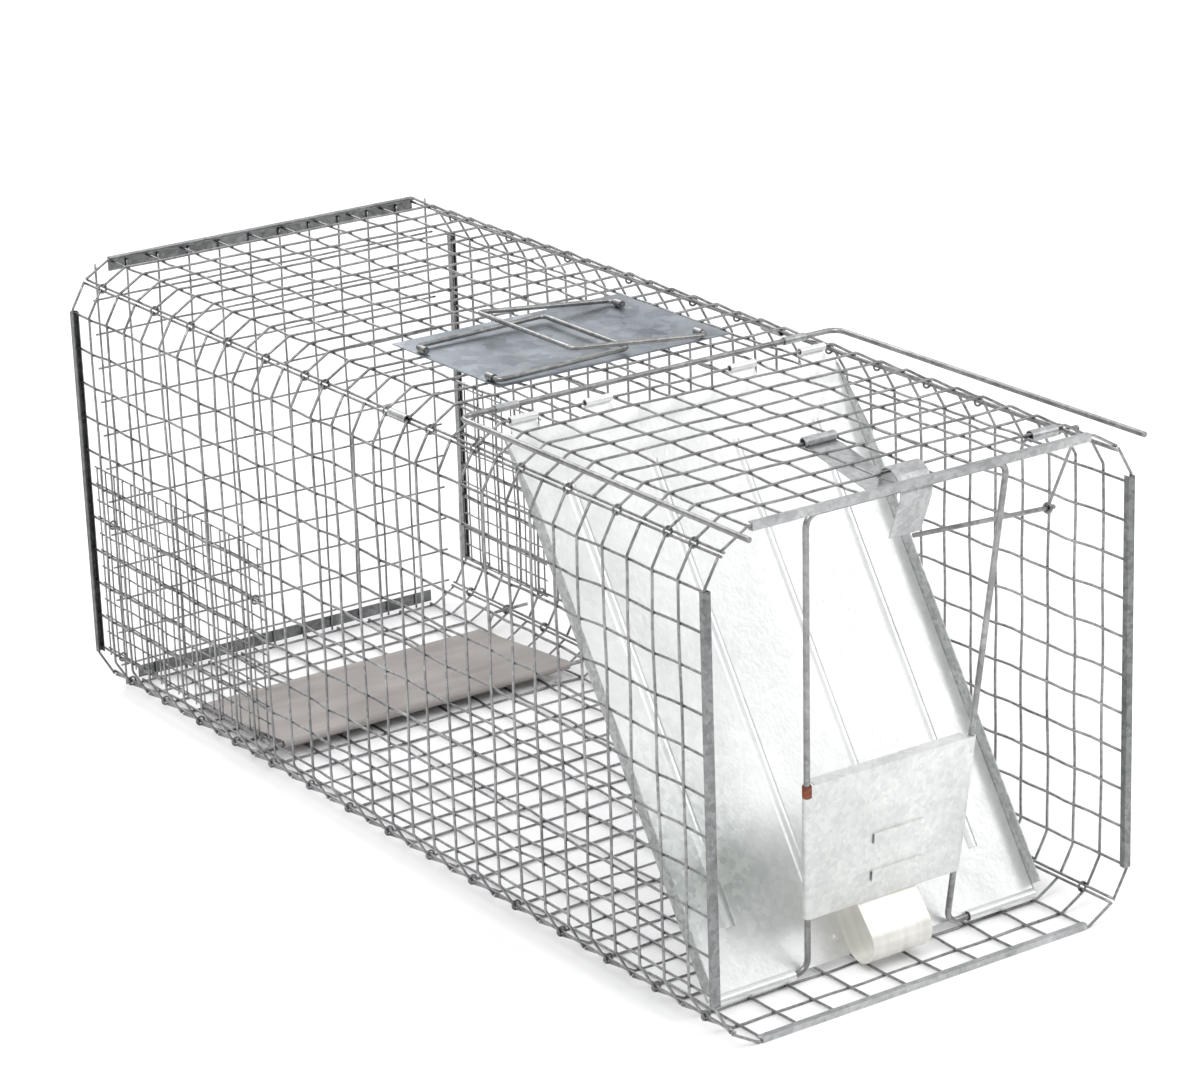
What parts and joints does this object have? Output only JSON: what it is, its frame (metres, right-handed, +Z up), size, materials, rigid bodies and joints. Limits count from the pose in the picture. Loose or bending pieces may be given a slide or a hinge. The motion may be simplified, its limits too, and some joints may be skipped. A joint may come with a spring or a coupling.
{
  "type": "live catch trap",
  "caption": "Welded wire cage trap with one sloping sheet door, hinged lock frame, hooked latch, floor treadle, top rod frame and two folding carrying bails, shown sprung.",
  "frame": {"origin": "centre of the bounding box, at the lowest wires of the floor", "axes": "+Z up, the door end faces -Y, +Y runs along the cage to its closed rear end"},
  "size_m": [0.3256, 0.7912, 0.3434],
  "materials": {
    "zinc_wire": "satin",
    "zinc_sheet": "satin",
    "dark_zinc": "satin",
    "bright_sheet": "satin",
    "spring_white": "satin",
    "rust_band": "matte",
    "treadle_sheet": "matte"
  },
  "bodies": {
    "cage": {"left_wall_mesh": "zinc_wire", "right_wall_mesh": "zinc_wire", "top_mesh": "zinc_wire", "floor_mesh": "zinc_wire", "rear_mesh": "zinc_wire", "left_guard_mesh": "zinc_wire", "right_guard_mesh": "zinc_wire", "front_left_channel": "zinc_sheet", "front_right_channel": "zinc_sheet", "rear_left_channel": "zinc_sheet", "rear_right_channel": "zinc_sheet", "top_front_strip": "zinc_sheet", "floor_front_strip": "zinc_sheet", "rear_top_strip": "dark_zinc", "rear_bottom_strip": "dark_zinc", "seam_rings": "zinc_sheet", "guard_rings": "zinc_sheet", "seam_ferrules": "zinc_sheet", "frame_sleeves": "bright_sheet", "handle_plate": "dark_zinc", "bail_loops": "dark_zinc", "trip_sleeve": "bright_sheet", "trip_hanger": "zinc_wire", "treadle_pivot": "zinc_wire", "trigger_wire": "zinc_wire"},
    "door": {"door_panel": "bright_sheet"},
    "lock_frame": {"lock_rod": "dark_zinc", "lock_plate": "zinc_sheet", "leg_band": "rust_band", "leaf_spring": "spring_white"},
    "latch": {"latch": "zinc_sheet"},
    "top_frame": {"top_frame": "zinc_wire"},
    "outer_bail": {"outer_bail": "zinc_wire"},
    "inner_bail": {"inner_bail": "zinc_wire"},
    "treadle": {"treadle": "treadle_sheet"},
    "trip_rod": {"trip_rod": "dark_zinc"}
  },
  "joints": [
    {"name": "latch_lift", "type": "hinge", "parent": "cage", "child": "latch", "pos_m": [0, -0.26803, 0.3252], "axis": [-1, 0, 0], "range_deg": [0, 10]},
    {"name": "door_swing", "type": "hinge", "parent": "cage", "child": "door", "pos_m": [0, -0.11563, 0.3252], "axis": [-1, 0, 0], "range_deg": [0, 45]},
    {"name": "lock_fold", "type": "hinge", "parent": "door", "child": "lock_frame", "pos_m": [0, -0.32062, 0.00735], "axis": [-1, 0, 0], "range_deg": [0, 36], "deforming": ["leaf_spring"]},
    {"name": "top_frame_lift", "type": "hinge", "parent": "cage", "child": "top_frame", "pos_m": [0, -0.09663, 0.3279], "axis": [-1, 0, 0], "range_deg": [0, 100]},
    {"name": "outer_bail_swing", "type": "hinge", "parent": "cage", "child": "outer_bail", "pos_m": [0.072, -0.00213, 0.32962], "axis": [0, 1, 0], "range_deg": [0, 170]},
    {"name": "inner_bail_swing", "type": "hinge", "parent": "cage", "child": "inner_bail", "pos_m": [-0.088, -0.00213, 0.32962], "axis": [0, -1, 0], "range_deg": [0, 170]},
    {"name": "treadle_lift", "type": "hinge", "parent": "cage", "child": "treadle", "pos_m": [0, 0.19637, 0.011], "axis": [1, 0, 0], "range_deg": [0, 8]},
    {"name": "trip_slide", "type": "slide", "parent": "cage", "child": "trip_rod", "axis": [0.9629, 0.227, -0.146], "range_m": [0, 0.01]}
  ],
  "couplings": [
    {"joint": "lock_fold", "follows": "latch_lift", "ratio": 0.1},
    {"joint": "door_swing", "follows": "latch_lift", "ratio": 0.055},
    {"joint": "inner_bail_swing", "follows": "outer_bail_swing", "ratio": 1}
  ]
}
